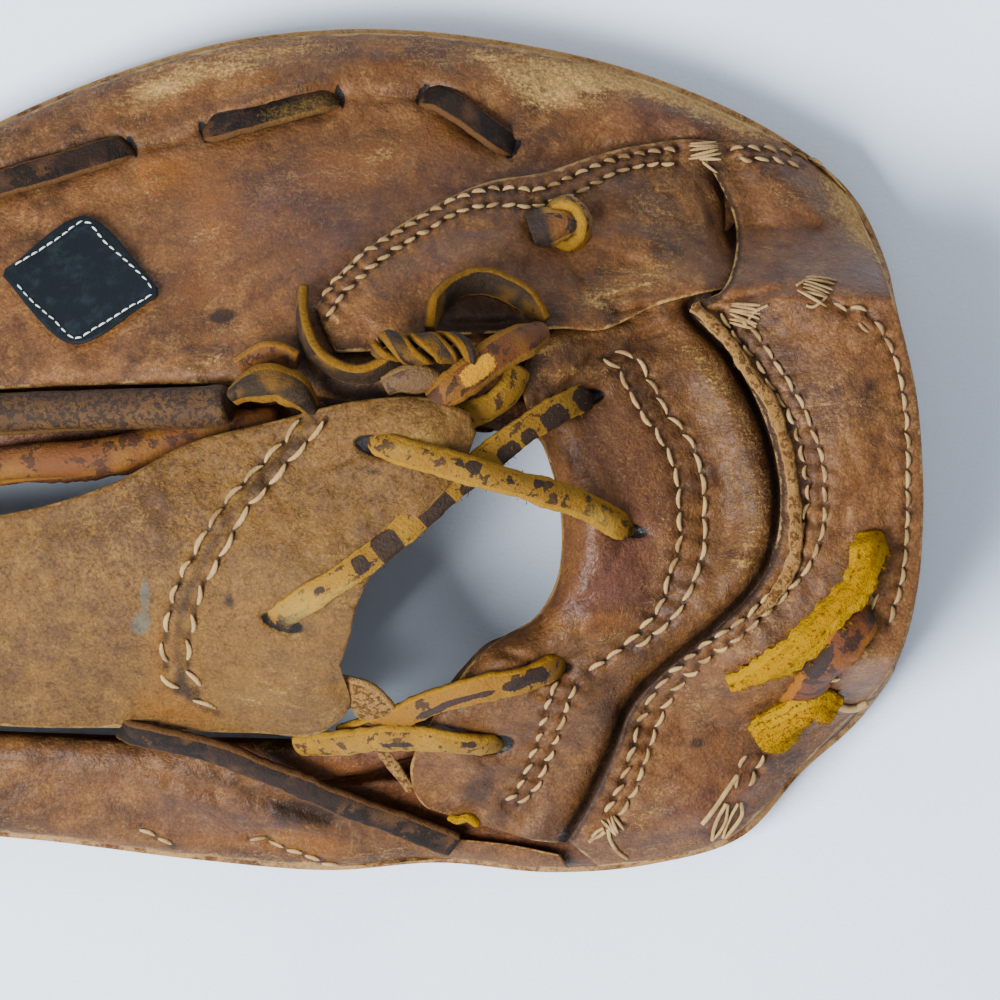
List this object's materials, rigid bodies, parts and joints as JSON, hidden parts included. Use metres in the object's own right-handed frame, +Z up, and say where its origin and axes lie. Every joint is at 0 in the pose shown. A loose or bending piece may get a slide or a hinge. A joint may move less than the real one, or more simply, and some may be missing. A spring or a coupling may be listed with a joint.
{
  "type": "first baseman mitt",
  "caption": "Worn leather first base mitt lying palm down, with a laced web, a crotch pad, a wrist band and an open heel for the hand",
  "frame": {"origin": "on the floor under the middle of the mitt's plan", "axes": "+X from the web's tip to the heel, +Y from the thumb side to the finger side, +Z up through the mitt's back"},
  "size_m": [0.2944, 0.1864, 0.0873],
  "materials": {
    "brown_leather": "worn, oiled, with rubbed patches",
    "palm_leather": "worn, reddish brown",
    "tan_leather": "dry, scuffed, light tan",
    "amber_lace": "rawhide with dark rubbed spots",
    "dark_lace": "dark, smooth, light at the cut edges",
    "yellow_rawhide": "fuzzy, swollen rawhide",
    "black_patch": "smooth, black"
  },
  "bodies": {
    "root": {"web_lace_upper": "amber_lace", "web_lace_lower": "amber_lace", "thumb_side_lace_upper": "amber_lace", "thumb_side_lace_lower": "amber_lace", "thumb_lace": "dark_lace", "corner_lace": "amber_lace", "braid_lace": "amber_lace", "cross_lace": "amber_lace", "under_lace": "amber_lace", "loop_lace": "dark_lace", "fold_lace": "amber_lace", "knot_lace": "amber_lace", "knot_lace_end": "amber_lace", "heel_lace_long": "yellow_rawhide", "heel_lace_short": "yellow_rawhide", "rim_lace": "dark_lace", "tip_tie_1": "amber_lace", "tip_tie_2": "amber_lace", "pad_knot": "amber_lace", "side_strand": "tan_leather", "edge_roll": "tan_leather", "web": "tan_leather", "patch": "black_patch", "wrist_band": "brown_leather", "index_panel": "brown_leather", "crotch_pad": "brown_leather", "finger_back": "brown_leather", "thumb_back": "brown_leather", "palm": "palm_leather"}
  },
  "joints": []
}
